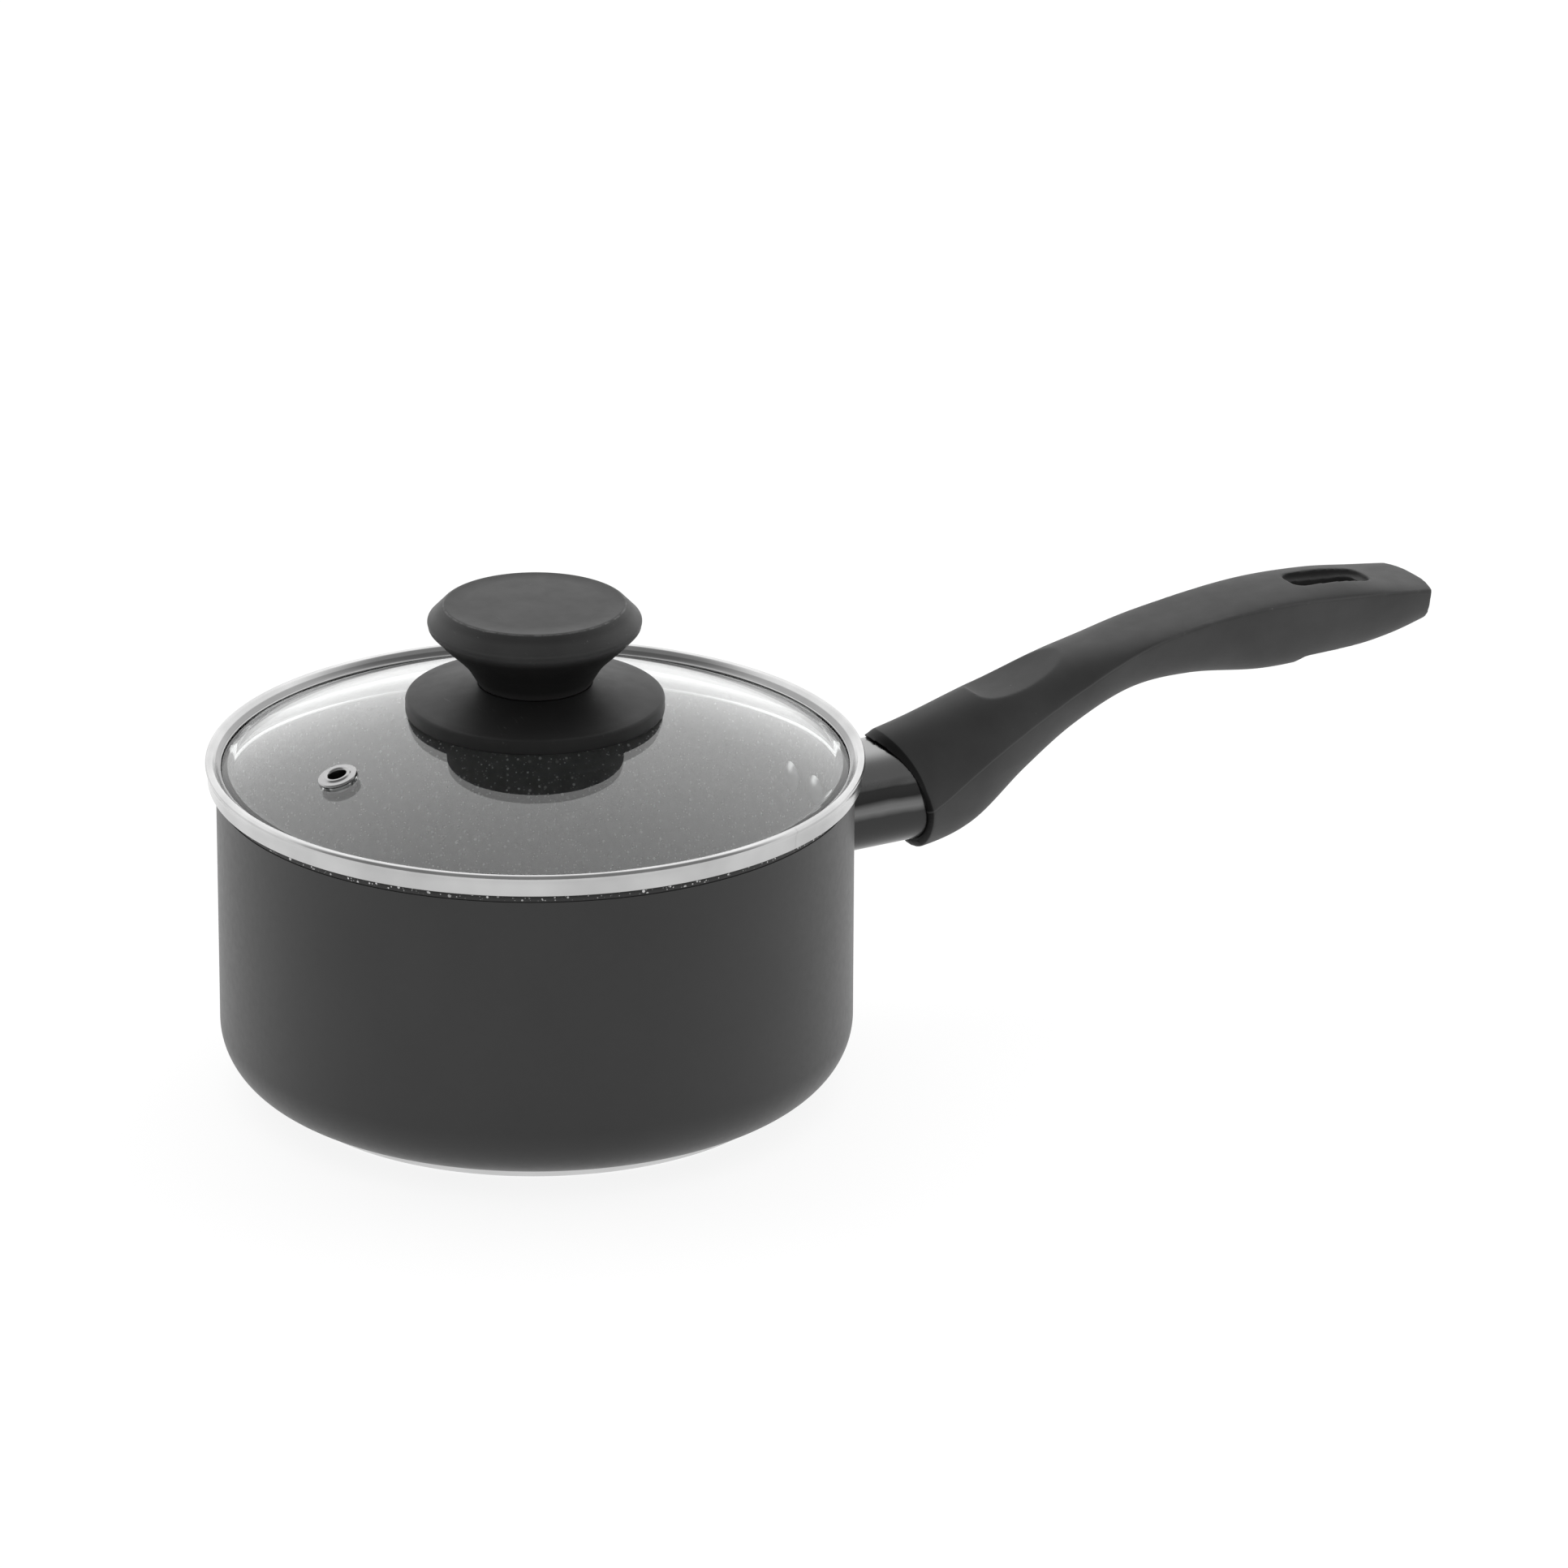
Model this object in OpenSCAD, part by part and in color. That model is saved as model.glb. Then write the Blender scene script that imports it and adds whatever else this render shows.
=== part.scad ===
// Saucepan with a domed glass lid, a long moulded grip and a mushroom knob.
// Millimetres, +Z up. The origin is the centre of the base's underside, and +X runs
// along the handle, away from the pan.

/* [Pan] */
// Outside diameter of the straight wall
pan_d = 164.2; // [150:0.2:180]
// Height of the pouring rim above the surface that the pan stands on
rim_h = 83.1; // [75:0.1:100]
// Thickness of the wall
wall_t = 2.0; // [1.6:0.1:3]
// Thickness of the floor
floor_t = 3.0; // [2.5:0.1:4]
// Outside radius of the corner between wall and floor
corner_r = 15.5; // [12:0.5:20]
// Thickness of the base disc bonded under the floor
base_t = 2.6; // [2:0.1:4]
// Diameter of the base disc
base_d = 135; // [115:1:137]

/* [Lid] */
// Diameter over the bead of the steel rim
lid_d = 169.6; // [168:0.2:172]
// Height of the rim's straight band
band_h = 4.8; // [4.6:0.1:5.5]
// Radius of the bead that closes the top of the band
bead_r = 1.1; // [0.9:0.05:1.2]
// Sheet thickness of the rim
rim_t = 0.5; // [0.4:0.05:0.6]
// Depth of the skirt that locates the lid inside the pan
skirt_h = 3.6; // [2.5:0.1:5]
// Outer radius of the glass dome
dome_r = 194.5; // [190:0.5:200]
// Thickness of the glass
glass_t = 3.6; // [3:0.1:4]
// How far the lid can be lifted
lift = 120; // [80:5:150]

/* [Vent] */
// Distance of the steam vent from the lid's axis
vent_pos = 59; // [50:0.5:65]
// Turn of the vent about the lid's axis, from the side away from the handle
vent_turn = 4; // [0:1:20]
// Diameter of the vent's hole
vent_d = 4.6; // [3:0.1:5]
// Diameter of the eyelet's polished flange
eyelet_d = 9.8; // [9:0.1:12]

/* [Knob] */
// Diameter of the mushroom head
knob_d = 55; // [50:0.5:58]
// Height of the knob above its skirt
knob_h = 21.4; // [20:0.2:24]
// Diameter of the neck where it meets the skirt
neck_d = 29.2; // [26:0.2:31]
// Diameter of the skirt
skirt_d = 66.6; // [62:0.2:68]

/* [Handle] */
// Height of the ferrule's axis above the surface that the pan stands on
handle_z = 59.9; // [59:0.1:61]
// Width of the ferrule
ferrule_w = 22.4; // [21:0.2:23]
// Height of the ferrule
ferrule_h = 29.2; // [28:0.2:30]
// Sheet thickness of the ferrule
ferrule_t = 1.2; // [1:0.1:1.5]
// Length of the hanging slot
slot_l = 21; // [18:0.5:22]
// Width of the hanging slot
slot_w = 8; // [7:0.5:9]

/* [Hidden] */
$fn = 96;

// Clearance that keeps two pieces of one assembly from cutting into each other
gap = 0.05;
// Longer than any cut needs
far = 400;

pan_r = pan_d / 2;
bore_r = pan_r - wall_t;
floor_z = base_t + floor_t;

// The lid rests on the rim, and its own heights are counted from there.
lid_z = rim_h + 0.2;
band_r = lid_d / 2 - 0.6;
bead_pos = lid_d / 2 - bead_r;
lip_r = 80.4;
lip_z = 3.4;
skirt_r = bore_r - 0.8;
// Height of the dome's centre, set by where the rim's lip meets the glass
dome_z = lid_z + lip_z - sqrt(pow(dome_r, 2) - pow(lip_r, 2));
apex_z = dome_z + dome_r;
under_z = apex_z - glass_t;
vent_tilt = asin(vent_pos / dome_r);
tube_r = vent_d / 2 + 0.6;

knob_z = lid_z + 25.9;
knob_edge_z = knob_z + 15.6;
bush_r = 5;
bush_t = 1.2;
washer_r = 8;
washer_t = 1;
head_r = 4.4;
head_t = 2.6;
knob_screw_r = 2;
insert_r = 3.5;
insert_h = 12;
// The stack that clamps the knob, from the glass downwards
bush_z = under_z - 0.3 - bush_t;
washer_z = bush_z - washer_t;
lock_z = washer_z - washer_t;
head_z = lock_z - head_t;

bracket_t = 2;
plate_w = ferrule_w - 2 * ferrule_t - 0.4;
plate_h = ferrule_h - 2 * ferrule_t - 0.4;
tongue_w = 12;
tongue_t = 3;
tongue_end = 133;
rivet_z = 65.7;
rivet_pos = 6.2;
rivet_r = 2.4;
rivet_head_r = 4;
rivet_head_t = 1.5;
ferrule_end = 117;
socket_gap = 0.3;
socket_end = 119;
screw_x = 125;
screw_r = 2.5;
screw_head_r = 3.7;
screw_seat_z = 53.5;
nut_w = 8;
nut_t = 4;
slot_x = 239.5;
grip_end = 268.5;

// Sections of the grip: distance from the pan's axis, the heights of its top, of the
// crease along its side and of its underside, its half width, and how full its arches
// are, where 2 is an ellipse and more is squarer.
GRIP = [
    [ 98, 75.6, 50.5, 43.9, 13.2, 2.4],
    [112, 78.5, 57.0, 42.8, 13.6, 2.4],
    [128, 82.7, 67.0, 46.6, 13.5, 2.3],
    [143, 86.3, 75.2, 58.4, 13.1, 2.3],
    [158, 89.6, 82.2, 68.3, 12.5, 2.3],
    [176, 91.6, 89.2, 75.6, 12.0, 2.4],
    [195, 93.8, 93.0, 76.5, 11.6, 2.5],
    [219, 96.1, 94.6, 73.6, 12.6, 2.6],
    [240, 95.8, 93.4, 74.2, 13.0, 2.6],
    [258, 92.6, 91.7, 76.8, 12.6, 2.8],
    [272, 90.7, 89.9, 81.1, 12.0, 3.0]
];

// ---- curves -----------------------------------------------------------------

// Slope of one column of GRIP at station i
function grip_slope(i, col) =
    let (a = max(i - 1, 0), b = min(i + 1, len(GRIP) - 1))
    (GRIP[b][col] - GRIP[a][col]) / (GRIP[b][0] - GRIP[a][0]);

// Index of the station at or before x
function grip_span(x, i = 0) =
    i >= len(GRIP) - 2 || x < GRIP[i + 1][0] ? i : grip_span(x, i + 1);

// One column of GRIP at x, on a smooth curve through the stations
function grip_at(x, col) =
    let (i = grip_span(x), w = GRIP[i + 1][0] - GRIP[i][0], t = (x - GRIP[i][0]) / w)
    GRIP[i][col] * (1 + 2 * t) * pow(1 - t, 2)
    + GRIP[i + 1][col] * t * t * (3 - 2 * t)
    + grip_slope(i, col) * w * t * pow(1 - t, 2)
    - grip_slope(i + 1, col) * w * t * t * (1 - t);

// One closed section of the grip at x: an arch over the crease and a deeper one under
// it. The upper arch starts close to upright and the lower one leans in, which leaves
// the crease as an edge.
function grip_ring(x, half_n) =
    let (top = grip_at(x, 1), mid = grip_at(x, 2), low = grip_at(x, 3), w = grip_at(x, 4),
         bend = 2 / grip_at(x, 5))
    [for (k = [0 : 2 * half_n - 1])
        let (upper = k < half_n,
             start = upper ? 8 : 28,
             base = pow(sin(start), bend),
             t = start + (180 - 2 * start) * (upper ? k : k - half_n) / half_n,
             y = w * sign(cos(t)) * pow(abs(cos(t)) / cos(start), bend),
             rise = (pow(sin(t), bend) - base) / (1 - base))
        [x, upper ? y : -y, mid + rise * ((upper ? top : low) - mid)]];

// ---- shared shapes ----------------------------------------------------------

// Half section of a round-cornered cup that is filled to its axis
module cup_section(r, low, high, corner) {
    translate([0, low]) square([r - corner, high - low]);
    translate([0, low + corner]) square([r, high - low - corner]);
    translate([r - corner, low + corner]) circle(corner);
}

// Upright bar with a round top and bottom, lying along +X
module oval_bar(width, height, from_x, to_x) {
    shift = (height - width) / 2;
    translate([from_x, 0, handle_z]) {
        for (s = [-1, 1])
            translate([0, 0, s * shift]) rotate([0, 90, 0])
                cylinder(r = width / 2, h = to_x - from_x);
        translate([0, -width / 2, -shift]) cube([to_x - from_x, width, 2 * shift]);
    }
}

// Block along X that is centred on Y, with rounded corners in plan
module soft_block(length, width, height, corner) {
    l = length - 2 * corner;
    w = width - 2 * corner;
    for (x = [-l / 2, l / 2], y = [-w / 2, w / 2])
        translate([x, y, 0]) cylinder(r = corner, h = height);
    translate([-length / 2, -w / 2, 0]) cube([length, w, height]);
    translate([-l / 2, -width / 2, 0]) cube([l, width, height]);
}

// Puts its children on the dome at the vent, with +Z along the dome's normal
module at_vent() {
    translate([0, 0, dome_z]) rotate([0, -vent_tilt, vent_turn]) children();
}

// Flat ring
module ring(outer_r, inner_r, low, high) {
    difference() {
        translate([0, 0, low]) cylinder(r = outer_r, h = high - low);
        translate([0, 0, low - 1]) cylinder(r = inner_r, h = high - low + 2);
    }
}

// The two places where the bracket is riveted through the wall
module at_rivets() {
    for (s = [-1, 1]) translate([0, s * rivet_pos, rivet_z]) rotate([0, 90, 0]) children();
}

// ---- pan --------------------------------------------------------------------

module pan_body() {
    lip = wall_t / 2;
    color([0.24, 0.24, 0.25]) difference() {
        rotate_extrude() {
            difference() {
                cup_section(pan_r, base_t, rim_h - lip, corner_r);
                cup_section(bore_r, floor_z, rim_h + 1, corner_r - wall_t);
            }
            translate([bore_r + lip, rim_h - lip]) circle(lip);
        }
        at_rivets() cylinder(r = rivet_r + gap, h = pan_r + 1);
    }
}

module base_disc() {
    edge = 0.8;
    color([0.82, 0.83, 0.84]) rotate_extrude() {
        square([base_d / 2 - edge, base_t]);
        translate([0, edge]) square([base_d / 2, base_t - edge]);
        translate([base_d / 2 - edge, edge]) circle(edge);
    }
}

// ---- handle -----------------------------------------------------------------

module handle_bracket() {
    color([0.72, 0.73, 0.74]) difference() {
        union() {
            // plate that fits the wall inside the ferrule
            intersection() {
                ring(pan_r + gap + bracket_t, pan_r + gap, 0, far);
                oval_bar(plate_w, plate_h, 0, far);
            }
            // tongue that runs into the grip
            translate([pan_r + 1, -tongue_w / 2, handle_z - tongue_t / 2])
                cube([tongue_end - pan_r - 1, tongue_w, tongue_t]);
        }
        at_rivets() cylinder(r = rivet_r + gap, h = far);
        translate([screw_x, 0, 0]) cylinder(r = screw_r + gap, h = far);
    }
}

module bracket_rivets() {
    seat = sqrt(pow(bore_r, 2) - pow(rivet_pos, 2)) - 1;
    outer = pan_r + bracket_t;
    color([0.80, 0.80, 0.81]) at_rivets() {
        // shank, domed head inside the pan, and the closed head on the bracket
        translate([0, 0, seat]) cylinder(r = rivet_r, h = outer - seat + 0.5);
        intersection() {
            translate([0, 0, seat - rivet_head_t]) cylinder(r = rivet_head_r, h = rivet_head_t);
            translate([0, 0, seat + 4.6]) sphere(6.1);
        }
        translate([0, 0, outer + 0.2]) cylinder(r = rivet_head_r - 1, h = 1.2);
    }
}

module ferrule() {
    color([0.16, 0.16, 0.17]) difference() {
        oval_bar(ferrule_w, ferrule_h, pan_r - 6, ferrule_end);
        oval_bar(ferrule_w - 2 * ferrule_t, ferrule_h - 2 * ferrule_t, 0, far);
        cylinder(r = pan_r + gap, h = far);
    }
}

module grip_body() {
    half_n = 15;
    steps = 34;
    first = GRIP[0][0];
    last = GRIP[len(GRIP) - 1][0];
    size = 2 * half_n;
    rings = [for (i = [0 : steps]) grip_ring(first + (last - first) * i / steps, half_n)];
    points = [for (r = rings) each r];
    sides = [for (i = [0 : steps - 1], k = [0 : size - 1])
        [i * size + k, i * size + (k + 1) % size,
         (i + 1) * size + (k + 1) % size, (i + 1) * size + k]];
    ends = [[for (k = [size - 1 : -1 : 0]) k], [for (k = [0 : size - 1]) steps * size + k]];
    polyhedron(points, concat(sides, ends), convexity = 4);
}

// What is cut off the grip to leave its gently bowed end
module past_grip_end() {
    bow_r = 37;
    difference() {
        translate([grip_end - 15, -50, 0]) cube([100, 100, 200]);
        translate([grip_end - bow_r, 0, -1]) cylinder(r = bow_r, h = 202);
    }
}

// What is cut off the grip's top to leave its thumb scoop, steepest towards the pan
module thumb_scoop() {
    from_x = 129.5;
    length = 27;
    depth = 2.4;
    steps = 16;
    edge = [for (i = [0 : steps])
        let (s = i / steps, x = from_x + length * s)
        [x, grip_at(x, 1) - 2.88 * depth * pow(s, 0.6) * (1 - s)]];
    rotate([90, 0, 0]) linear_extrude(far, center = true)
        polygon(concat(edge, [[from_x + length, 120], [from_x, 120]]));
}

module handle_grip() {
    mouth_r = 37;
    mouth_x = 74;
    mouth_z = 48.5;
    recess = 2.4;
    recess_tilt = 5;
    color([0.22, 0.22, 0.23]) difference() {
        grip_body();
        past_grip_end();
        // curved mouth, and the socket that takes the ferrule and the tongue
        translate([mouth_x, 0, mouth_z]) rotate([90, 0, 0])
            cylinder(r = mouth_r, h = far, center = true);
        oval_bar(ferrule_w + 2 * socket_gap, ferrule_h + 2 * socket_gap, 80, socket_end);
        translate([socket_end - 1, -tongue_w / 2 - gap, handle_z - tongue_t / 2 - gap])
            cube([tongue_end - socket_end + 1.5, tongue_w + 2 * gap, tongue_t + 2 * gap]);
        // screw hole, its counterbore and the pocket of the square nut
        translate([screw_x, 0, 0]) cylinder(r = screw_r + gap, h = handle_z + 9);
        translate([screw_x, 0, 0]) cylinder(r = screw_head_r + 0.4, h = screw_seat_z);
        translate([screw_x - nut_w / 2 - gap, -nut_w / 2 - gap, handle_z])
            cube([nut_w + 2 * gap, nut_w + 2 * gap, tongue_t / 2 + nut_t + 0.1]);
        thumb_scoop();
        // hanging slot, the recess round its upper end and the pocket under it
        translate([slot_x, 0, 0]) soft_block(slot_l, slot_w, far, 2.6);
        translate([slot_x + 0.5, 0, grip_at(slot_x, 1) - recess]) rotate([0, recess_tilt, 0])
            soft_block(slot_l + 3, slot_w + 2.4, 3 * recess, 3.4);
        translate([slot_x + 1, 0, 0]) soft_block(24, 15, 76.4, 4);
    }
}

module handle_screw() {
    head = 3.2;
    color([0.75, 0.75, 0.76]) translate([screw_x, 0, screw_seat_z - 1 - head]) {
        difference() {
            cylinder(r = screw_head_r, h = head);
            for (a = [0, 90]) rotate([0, 0, a]) translate([-2.2, -0.5, -1]) cube([4.4, 1, 2.6]);
        }
        translate([0, 0, head - 0.5])
            cylinder(r = screw_r, h = handle_z + 8 - screw_seat_z + 1.5);
    }
}

module handle_lock_washer() {
    color([0.62, 0.62, 0.63]) translate([screw_x, 0, 0])
        difference() {
            ring(screw_head_r - 0.2, screw_r + gap, screw_seat_z - 1, screw_seat_z);
            translate([0, -0.4, screw_seat_z - 2]) cube([far, 0.8, 3]);
        }
}

module handle_nut() {
    low = handle_z + tongue_t / 2;
    color([0.70, 0.70, 0.71]) difference() {
        translate([screw_x - nut_w / 2, -nut_w / 2, low]) cube([nut_w, nut_w, nut_t]);
        translate([screw_x, 0, low - 1]) cylinder(r = screw_r + gap, h = nut_t + 2);
    }
}

// ---- lid --------------------------------------------------------------------

module lid_rim() {
    lip_in = [lip_r, lip_z + 0.1];
    color([0.80, 0.81, 0.82]) rotate_extrude() translate([0, lid_z]) {
        // skirt inside the pan, shelf that rests on the pan's rim, and outer band
        translate([skirt_r - rim_t, -skirt_h]) square([rim_t, skirt_h + rim_t]);
        translate([skirt_r - rim_t, 0]) square([band_r - skirt_r + rim_t, rim_t]);
        translate([band_r - rim_t, 0]) square([rim_t, band_h]);
        // bead, and the lip that turns in onto the glass
        translate([bead_pos, band_h]) circle(bead_r);
        polygon([lip_in, [bead_pos - 0.6, band_h + 0.1], [bead_pos - 0.6, band_h + 0.9],
            [bead_pos - 1.4, band_h + 0.4], lip_in + [0.4, 0.5]]);
    }
}

module lid_glass() {
    seat_z = lid_z + rim_t + gap;
    edge_r = band_r - rim_t - gap;
    color([0.78, 0.82, 0.84, 0.45]) difference() {
        rotate_extrude() intersection() {
            translate([0, dome_z]) difference() {
                circle(dome_r, $fn = 360);
                circle(dome_r - glass_t, $fn = 360);
            }
            translate([0, seat_z]) square([edge_r, far]);
        }
        translate([0, 0, lid_z]) cylinder(r = bush_r + 0.2, h = far);
        at_vent() cylinder(r = tube_r + 0.2, h = far);
    }
}

module vent_eyelet() {
    flange_t = 1.1;
    color([0.88, 0.88, 0.89]) at_vent() {
        // the flange's ring is domed, and the tube runs through the glass
        rotate_extrude() {
            translate([vent_d / 2, dome_r]) square([eyelet_d / 2 - vent_d / 2 - 0.5, flange_t]);
            translate([vent_d / 2, dome_r]) square([eyelet_d / 2 - vent_d / 2, flange_t - 0.5]);
            translate([eyelet_d / 2 - 0.5, dome_r + flange_t - 0.5]) circle(0.5);
            translate([vent_d / 2, dome_r - glass_t - 1.2])
                square([tube_r - vent_d / 2, glass_t + 1.3]);
        }
    }
}

module vent_collar() {
    low = dome_r - glass_t - 1;
    color([0.80, 0.80, 0.81]) at_vent() ring(eyelet_d / 2 - 0.3, tube_r + gap, low, low + 0.9);
}

module knob_skirt() {
    rim_low = lid_z + 18.1;
    rim_high = lid_z + 21.5;
    r = skirt_d / 2;
    shell = 2.2;
    hub_r = 9;
    hub_z = apex_z + gap;
    color([0.20, 0.20, 0.21]) rotate_extrude() difference() {
        union() {
            polygon([[insert_r + 1.5, knob_z], [neck_d / 2, knob_z], [r - 0.6, rim_high + 0.5],
                [r, rim_high], [r, rim_low], [r - shell, rim_low], [r - shell, rim_high - 0.8],
                [hub_r, knob_z - shell], [hub_r, hub_z], [insert_r + 1.5, hub_z]]);
        }
        translate([0, dome_z]) circle(dome_r + gap, $fn = 360);
    }
}

// The knob swells in one sweep from its neck to its head, whose top is nearly flat.
module knob() {
    steps = 10;
    head_edge = knob_d / 2;
    under = [for (i = [0 : steps])
        let (s = i / steps)
        [neck_d / 2 + (head_edge - 0.6 - neck_d / 2) * pow(s, 1.15),
         knob_z + gap + (knob_edge_z - knob_z - gap) * s]];
    side = [for (a = [10 : 20 : 90])
        [head_edge - 3.6 + 3.6 * cos(a), knob_edge_z + 0.9 + 4.3 * sin(a)]];
    top = [for (s = [0.8, 0.5, 0.2]) [(head_edge - 4) * s, knob_z + knob_h - 0.7 * s * s]];
    color([0.20, 0.20, 0.21]) difference() {
        rotate_extrude() polygon(concat([[0, knob_z + gap]], under, [[head_edge, knob_edge_z + 0.7]],
            side, top, [[0, knob_z + knob_h]]));
        cylinder(r = insert_r + gap, h = knob_z + insert_h + gap);
    }
}

module knob_insert() {
    color([0.78, 0.62, 0.30])
        ring(insert_r, knob_screw_r + gap, knob_z - 1.5, knob_z + insert_h);
}

module knob_screw() {
    top = knob_z + insert_h - 2;
    color([0.78, 0.78, 0.79]) difference() {
        union() {
            translate([0, 0, head_z]) cylinder(r = head_r, h = head_t);
            translate([0, 0, head_z]) cylinder(r = knob_screw_r, h = top - head_z);
        }
        for (a = [0, 90]) rotate([0, 0, a])
            translate([-2.2, -0.5, head_z - 1]) cube([4.4, 1, 2.4]);
    }
}

module knob_washer() {
    color([0.74, 0.74, 0.75]) ring(washer_r, knob_screw_r + gap, washer_z, bush_z);
}

module knob_lock_washer() {
    color([0.60, 0.60, 0.61]) difference() {
        ring(head_r - 0.4, knob_screw_r + gap, lock_z, washer_z);
        translate([0, -0.4, lock_z - 1]) cube([far, 0.8, washer_t + 2]);
    }
}

module glass_bush() {
    color([0.85, 0.85, 0.83]) {
        ring(washer_r + 0.6, knob_screw_r + gap, bush_z, bush_z + bush_t);
        ring(bush_r, knob_screw_r + gap, bush_z, apex_z - 0.2);
    }
}

pan_body();
base_disc();
handle_bracket();
bracket_rivets();
ferrule();
handle_grip();
handle_screw();
handle_lock_washer();
handle_nut();
lid_rim();
lid_glass();
vent_eyelet();
vent_collar();
knob_skirt();
knob();
knob_insert();
knob_screw();
knob_washer();
knob_lock_washer();
glass_bush();
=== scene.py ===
"""Looks of the saucepan with a glass lid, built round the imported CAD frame."""
import math

import bmesh
import bpy
from mathutils import Matrix, Vector


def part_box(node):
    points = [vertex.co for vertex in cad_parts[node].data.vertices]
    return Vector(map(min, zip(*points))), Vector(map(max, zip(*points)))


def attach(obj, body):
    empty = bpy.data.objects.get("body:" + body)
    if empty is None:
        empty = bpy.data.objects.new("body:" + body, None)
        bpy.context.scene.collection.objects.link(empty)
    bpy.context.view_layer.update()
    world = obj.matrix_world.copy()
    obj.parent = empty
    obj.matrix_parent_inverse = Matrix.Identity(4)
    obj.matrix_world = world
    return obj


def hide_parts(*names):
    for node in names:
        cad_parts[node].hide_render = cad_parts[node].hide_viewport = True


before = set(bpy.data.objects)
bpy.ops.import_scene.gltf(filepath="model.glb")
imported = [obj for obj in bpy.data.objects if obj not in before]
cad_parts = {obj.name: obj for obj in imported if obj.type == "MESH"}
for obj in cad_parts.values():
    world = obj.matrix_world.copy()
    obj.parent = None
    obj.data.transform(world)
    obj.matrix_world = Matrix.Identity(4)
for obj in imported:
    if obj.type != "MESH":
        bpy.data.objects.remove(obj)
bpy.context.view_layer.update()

MM = 0.001
# Steps round a turned piece, and the angle from which an edge is shown as sharp.
TURNS = 256
SHARP = math.radians(40)

# ---- sizes in millimetres, from the frame's boxes where those show them ----------


def node_mm(node):
    """Lowest and highest corner of a CAD node in millimetres."""
    low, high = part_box(node)
    return Vector(low) / MM, Vector(high) / MM


pan_low, pan_high = node_mm("pan_body")
disc_low, disc_high = node_mm("base_disc")
rim_low = node_mm("lid_rim")[0]
skirt_low, skirt_high = node_mm("knob_skirt")
knob_low, knob_high = node_mm("knob")
ferrule_low, ferrule_high = node_mm("ferrule")

WALL = 2.0
FLOOR = 3.0
CORNER = 15.5
RIM_Z = pan_high.z
PAN_R = -pan_low.y
BASE_T = disc_high.z
BASE_R = -disc_low.y

LID_Z = RIM_Z + 0.2
LID_R = -rim_low.y
LIP_R = 80.4
LIP_Z = 3.4
DOME_R = 194.5
GLASS_T = 3.6
DOME_Z = LID_Z + LIP_Z - math.sqrt(DOME_R**2 - LIP_R**2)
VENT_POS = 59
VENT_TURN = math.radians(4)
VENT_TILT = math.asin(VENT_POS / DOME_R)
WELD_TURN = math.radians(-67)

SKIRT_R = -skirt_low.y
KNOB_Z = skirt_high.z
KNOB_R = -knob_low.y
KNOB_TOP = knob_high.z
NECK_R = 14.6

HANDLE_Z = (ferrule_low.z + ferrule_high.z) / 2
FERRULE_W = ferrule_high.y
FERRULE_H = (ferrule_high.z - ferrule_low.z) / 2

# ---- camera and light ---------------------------------------------------------

HANDLE_TURN = math.radians(28)
ELEVATION = math.radians(21.57)
DISTANCE = 2.5
AIM_Z = 0.07
DIM = 0.32
BRIGHT = 1.4
SOFTBOX = 0.25
SOFTBOX_LIFT = math.radians(66)


def add_camera():
    """Camera fitted to the photograph's view."""
    data = bpy.data.cameras.new("camera")
    data.sensor_width = 36
    data.lens = 222.7
    data.clip_end = 20
    camera = bpy.data.objects.new("camera", data)
    level = DISTANCE * math.cos(ELEVATION)
    place = Vector((-level * math.sin(HANDLE_TURN), -level * math.cos(HANDLE_TURN),
                    AIM_Z + DISTANCE * math.sin(ELEVATION)))
    pan, tilt, roll = math.radians(1.575), math.radians(21.34), math.radians(0.262)
    turn = (Matrix.Rotation(-HANDLE_TURN - pan, 4, "Z")
            @ Matrix.Rotation(math.pi / 2 - tilt, 4, "X")
            @ Matrix.Rotation(roll, 4, "Z"))
    camera.matrix_world = Matrix.Translation(place) @ turn
    bpy.context.collection.objects.link(camera)
    bpy.context.scene.camera = camera


def add_world():
    """White studio: a wall that is bright behind the pan and dim on the side it is seen from,
    and a soft box high up behind it. The camera itself sees a plain white backdrop."""
    world = bpy.data.worlds.new("studio")
    bpy.context.scene.world = world
    world.use_nodes = True
    g = Graph(world.node_tree)
    out = g.add("ShaderNodeOutputWorld")
    direction = g.add("ShaderNodeTexCoord").outputs["Generated"]
    back_x, back_y = math.sin(HANDLE_TURN), math.cos(HANDLE_TURN)
    facing = g.along(direction, (back_x, back_y, -0.25))
    wall = g.ramp(g.math("MULTIPLY_ADD", facing, 0.5, 0.5),
                  [(0.36, grey(DIM)), (0.56, grey(BRIGHT))])
    level, up = math.cos(SOFTBOX_LIFT), math.sin(SOFTBOX_LIFT)
    towards = g.along(direction, (back_x * level, back_y * level, up))
    box = g.ramp(towards, [(0.74, grey(0)), (0.92, grey(SOFTBOX))])
    light = g.add("ShaderNodeBackground")
    total = g.add("ShaderNodeVectorMath", operation="ADD")
    g.link(wall, total.inputs[0])
    g.link(box, total.inputs[1])
    g.link(total.outputs[0], light.inputs["Color"])
    backdrop = g.add("ShaderNodeBackground")
    backdrop.inputs["Color"].default_value = (1, 1, 1, 1)
    backdrop.inputs["Strength"].default_value = 1.05
    mix = g.add("ShaderNodeMixShader")
    g.link(g.add("ShaderNodeLightPath").outputs["Is Camera Ray"], mix.inputs["Fac"])
    g.link(light.outputs[0], mix.inputs[1])
    g.link(backdrop.outputs[0], mix.inputs[2])
    g.link(mix.outputs[0], out.inputs["Surface"])


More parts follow.
